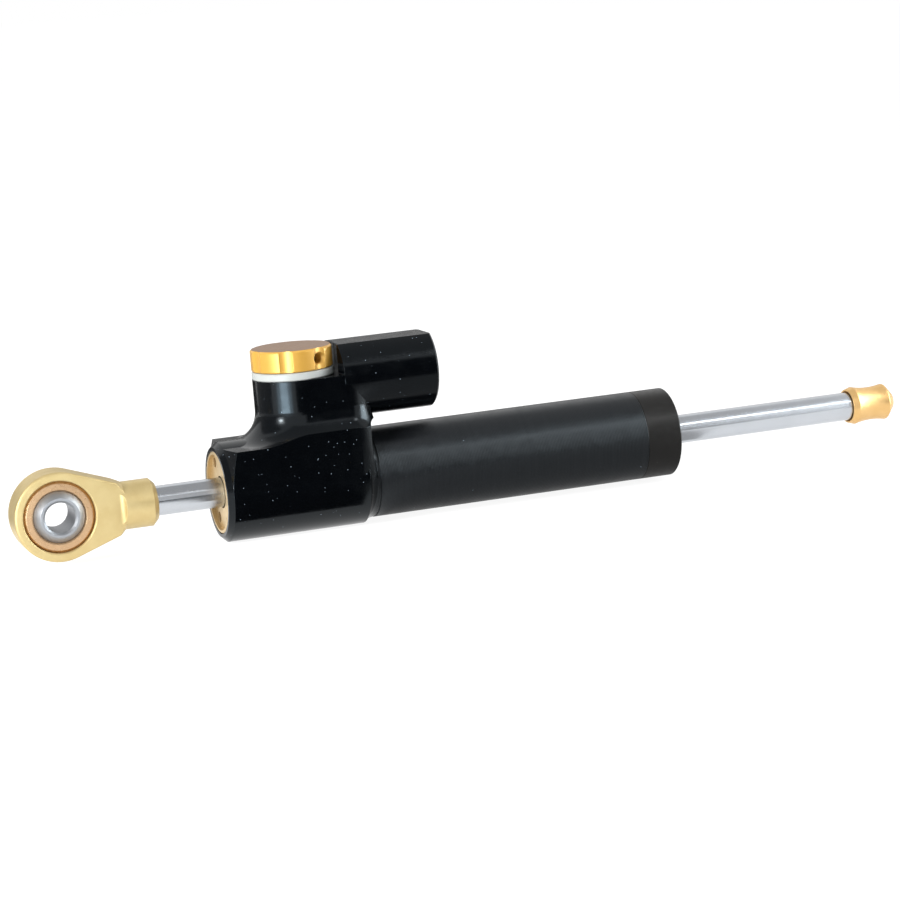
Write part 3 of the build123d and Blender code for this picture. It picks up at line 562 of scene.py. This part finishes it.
def gloss_black():
    """The head: deep black anodising over a fine machined surface, with a little dust."""
    f = Finish("gloss_black", Specular_IOR_Level=HEAD_SPECULAR, Specular_Tint=HEAD_TINT)
    base = f.mix(f.noise(HEAD_CLOUD, MANY), *HEAD_BLACKS)
    f.feed("Base Color", f.mix(f.specks(HEAD_DUST, HEAD_DUST_AMOUNT), base, DUST_GREY))
    f.feed("Roughness", f.spread(f.noise(HEAD_PATCH, MANY), *HEAD_ROUGHNESS))
    grain = f.bump(f.noise(HEAD_GRAIN, FEW), HEAD_GRAIN_DEPTH, f.round_edges(HEAD_EDGE))
    f.feed("Normal", f.bump(f.noise(HEAD_MARK, FEW, DRAWN_ALONG_X), HEAD_MARK_DEPTH, grain))
    return f.material


def satin_black():
    """The tube: black anodising over fine turned rings that scatter light along the tube."""
    f = Finish(
        "satin_black",
        Specular_IOR_Level=TUBE_SPECULAR,
        Specular_Tint=TUBE_TINT,
        Anisotropic=TUBE_STREAK,
    )
    wander = f.math("MULTIPLY_ADD", f.noise(TUBE_WANDER, FEW, ONLY_X), TUBE_RING_WANDER, f.along("X"))
    coarse = f.noise(TUBE_COARSE, FEW, ROUND_X)
    base = f.mix(coarse, *TUBE_BLACKS)
    f.feed("Base Color", f.mix(f.specks(TUBE_DUST, TUBE_DUST_AMOUNT), base, DUST_GREY))
    f.feed("Roughness", f.spread(f.noise(TUBE_PATCH, SOME), *TUBE_ROUGHNESS))
    f.turn_tangent()
    worn = f.bump(coarse, TUBE_COARSE_DEPTH, f.round_edges(TUBE_EDGE))
    f.feed("Normal", f.bump(f.rings(wander, TUBE_RING_PITCH), TUBE_RING_DEPTH, worn))
    return f.material


def smooth_black():
    """The end cap and the plug: plain black anodising, a little brown."""
    f = Finish("smooth_black", Specular_IOR_Level=CAP_SPECULAR)
    base = f.mix(f.noise(CAP_CLOUD, MANY), *CAP_BLACKS)
    f.feed("Base Color", f.mix(f.specks(CAP_DUST, CAP_DUST_AMOUNT), base, CAP_DUST_GREY))
    f.feed("Roughness", f.spread(f.noise(CAP_PATCH, MANY), *CAP_ROUGHNESS))
    turned = f.bump(f.noise(CAP_TURNING, FEW, ROUND_X), CAP_TURNING_DEPTH, f.round_edges(CAP_EDGE))
    f.feed("Normal", f.bump(f.noise(CAP_GRAIN, FEW), CAP_GRAIN_DEPTH, turned))
    return f.material


def gold(name, colours, roughness, grain_depth, edge, metallic=GOLD_METALLIC):
    """Gold anodising over a blasted or turned surface."""
    f = Finish(name, Metallic=metallic)
    cloud = f.math("MULTIPLY", f.spread(f.noise(GOLD_CLOUD, MOST), 0, 1), GOLD_CLOUD_SHARE)
    fine = f.noise(GOLD_GRAIN, SOME)
    f.feed("Base Color", f.mix(f.math("MULTIPLY_ADD", fine, GOLD_GRAIN_SHARE, cloud), *colours))
    low, high = roughness - GOLD_ROUGHNESS_SPREAD, roughness + GOLD_ROUGHNESS_SPREAD
    f.feed("Roughness", f.spread(f.noise(GOLD_PATCH, MANY), low, high))
    f.feed("Normal", f.bump(fine, grain_depth, f.round_edges(edge)))
    return f.material


def knob_gold():
    """The knob: bright orange gold, streaked round its side, with painted shade on its rougher top."""
    f = Finish("knob_gold", Metallic=KNOB_METALLIC, Specular_IOR_Level=KNOB_SPECULAR)
    knob_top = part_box("knob")[1][2]
    top = f.math("GREATER_THAN", f.along("Z"), knob_top - KNOB_TOP_DEPTH)
    side = f.mix(f.noise(KNOB_SIDE_CLOUD, SOME), *KNOB_GOLDS)
    # Painted shade: the top gets a darker, browner gold than the side, standing in for the dim light it
    # reflects
    painted_top_shade = f.mix(f.noise(KNOB_TOP_CLOUD, SOME), *KNOB_TOP_PAINTED_SHADE_GOLDS)
    f.feed("Base Color", f.mix(top, side, painted_top_shade))
    shine = f.spread(f.noise(KNOB_PATCH, SOME), *KNOB_ROUGHNESS)
    f.feed("Roughness", f.math("MULTIPLY_ADD", top, KNOB_TOP_ROUGHER, shine))
    radius = f.distance_from(middle("indicator_ring"), FROM_Z_AXIS)
    turned = f.bump(f.rings(radius, KNOB_RING_PITCH), KNOB_RING_DEPTH, f.round_edges(KNOB_EDGE))
    f.feed("Normal", f.bump(f.noise(KNOB_GRAIN, FEW, DRAWN_ALONG_Z), KNOB_GRAIN_DEPTH, turned))
    return f.material


def chrome():
    """The rod: hard chrome, ground round its girth."""
    f = Finish("chrome", Metallic=1.0, Anisotropic=CHROME_STREAK)
    lines = f.noise(CHROME_LINE, FEW, ROUND_X)
    f.feed("Base Color", f.mix(f.noise(CHROME_CLOUD, SOME), *CHROMES))
    f.feed("Roughness", f.spread(lines, *CHROME_ROUGHNESS))
    f.turn_tangent()
    f.feed("Normal", f.bump(lines, CHROME_LINE_DEPTH))
    return f.material


def steel(name, colour, roughness):
    """Ground or machined metal."""
    f = Finish(name, Metallic=1.0)
    darker = tuple(part * STEEL_DARKER_SHARE for part in colour)
    f.feed("Base Color", f.mix(f.noise(STEEL_CLOUD, MANY), colour, darker))
    low, high = roughness - STEEL_ROUGHNESS_SPREAD, roughness + STEEL_ROUGHNESS_SPREAD
    f.feed("Roughness", f.spread(f.noise(STEEL_PATCH, MANY), low, high))
    f.feed("Normal", f.bump(f.noise(STEEL_GRAIN, SOME), STEEL_GRAIN_DEPTH, f.round_edges(STEEL_EDGE)))
    return f.material


def bronze():
    """The bearing's race and the bushes: plain turned bronze."""
    f = Finish("bronze", Metallic=BRONZE_METALLIC)
    f.feed("Base Color", f.mix(f.noise(BRONZE_CLOUD, MANY), *BRONZES))
    f.feed("Roughness", f.spread(f.noise(BRONZE_PATCH, MANY), *BRONZE_ROUGHNESS))
    radius = f.distance_from(middle("bearing_ball"), FROM_Y_AXIS)
    rings = f.rings(radius, BRONZE_RING_PITCH)
    f.feed("Normal", f.bump(rings, BRONZE_RING_DEPTH, f.round_edges(BRONZE_EDGE)))
    return f.material


def plastic(name, colours, roughness):
    """Moulded or turned plastic and rubber."""
    f = Finish(name, Specular_IOR_Level=PLASTIC_SPECULAR)
    f.feed("Base Color", f.mix(f.noise(PLASTIC_CLOUD, MANY), *colours))
    low, high = roughness - PLASTIC_ROUGHNESS_SPREAD, roughness + PLASTIC_ROUGHNESS_SPREAD
    f.feed("Roughness", f.spread(f.noise(PLASTIC_PATCH, SOME), low, high))
    grain = f.noise(PLASTIC_GRAIN, SOME)
    f.feed("Normal", f.bump(grain, PLASTIC_GRAIN_DEPTH, f.round_edges(PLASTIC_EDGE)))
    return f.material


def dress(material, *names):
    """Gives solids their finish."""
    for name in names:
        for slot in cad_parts[name].material_slots:
            slot.material = material


def set_black_finishes():
    """The head, the tube and the caps."""
    dress(gloss_black(), "head_body")
    dress(satin_black(), "tube")
    dress(smooth_black(), "tube_end_cap", "reservoir_plug")


def set_gold_finishes():
    """The eye, the stop cap, the gland and the knob."""
    eye_gold = gold("eye_gold", EYE_GOLDS, EYE_ROUGHNESS, EYE_GRAIN_DEPTH, GOLD_EDGE)
    cap_gold = gold("cap_gold", STOP_CAP_GOLDS, STOP_CAP_ROUGHNESS, TURNED_GRAIN_DEPTH, GOLD_EDGE)
    nut_gold = gold("nut_gold", GLAND_GOLDS, GLAND_ROUGHNESS, TURNED_GRAIN_DEPTH, GLAND_EDGE, GLAND_METALLIC)
    dress(eye_gold, "rod_eye")
    dress(cap_gold, "rod_stop_cap")
    dress(nut_gold, "gland")
    dress(knob_gold(), "knob")


def set_bare_finishes():
    """The pieces of chrome, steel, bronze, brass and bare aluminium."""
    dress(chrome(), "rod")
    dress(steel("ball_steel", BALL_STEEL, BALL_ROUGHNESS), "bearing_ball", "click_ball")
    dress(steel("dark_steel", DARK_STEEL, DARK_ROUGHNESS), "knob_set_screw", "fill_screw")
    valve_steel = steel("valve_steel", VALVE_STEEL, VALVE_ROUGHNESS)
    dress(valve_steel, "adjuster_spindle", "valve_needle", "piston_circlips")
    dress(bronze(), "bearing_race", "guide_bush_left", "guide_bush_right")
    valve_brass = steel("valve_brass", VALVE_BRASS, VALVE_ROUGHNESS)
    dress(valve_brass, "click_plunger", "valve_bush", "needle_seat")
    bare_aluminium = steel("bare_aluminium", BARE_ALUMINIUM, BARE_ROUGHNESS)
    dress(bare_aluminium, "inner_sleeve", "piston", "floating_piston")


def set_soft_finishes():
    """The ring, the wipers, the piston's band and the seals."""
    dress(plastic("ring_white", RING_WHITES, RING_ROUGHNESS), "indicator_ring")
    dress(plastic("wiper_blue", WIPER_BLUES, WIPER_ROUGHNESS), "wiper_left", "wiper_right")
    dress(plastic("band_brown", BAND_BROWNS, RUBBED_ROUGHNESS), "piston_band")
    dress(plastic("seal_rubber", SEAL_BLACKS, RUBBED_ROUGHNESS), *SEALS)


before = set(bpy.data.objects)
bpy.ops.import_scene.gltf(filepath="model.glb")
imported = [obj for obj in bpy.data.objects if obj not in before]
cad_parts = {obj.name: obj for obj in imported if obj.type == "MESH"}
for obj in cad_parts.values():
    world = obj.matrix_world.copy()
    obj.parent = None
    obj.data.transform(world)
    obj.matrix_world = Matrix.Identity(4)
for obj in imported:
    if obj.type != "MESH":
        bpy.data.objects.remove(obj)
solid_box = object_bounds()
lowest = solid_box[0][2]

set_camera()
set_world()
set_floor(lowest - FLOOR_GAP)
set_cards(lowest + 2 * FLOOR_GAP)
for light_name, settings in LIGHTS.items():
    softbox(light_name, **settings)

set_black_finishes()
set_gold_finishes()
set_bare_finishes()
set_soft_finishes()

bpy.context.scene.view_settings.view_transform = "Standard"
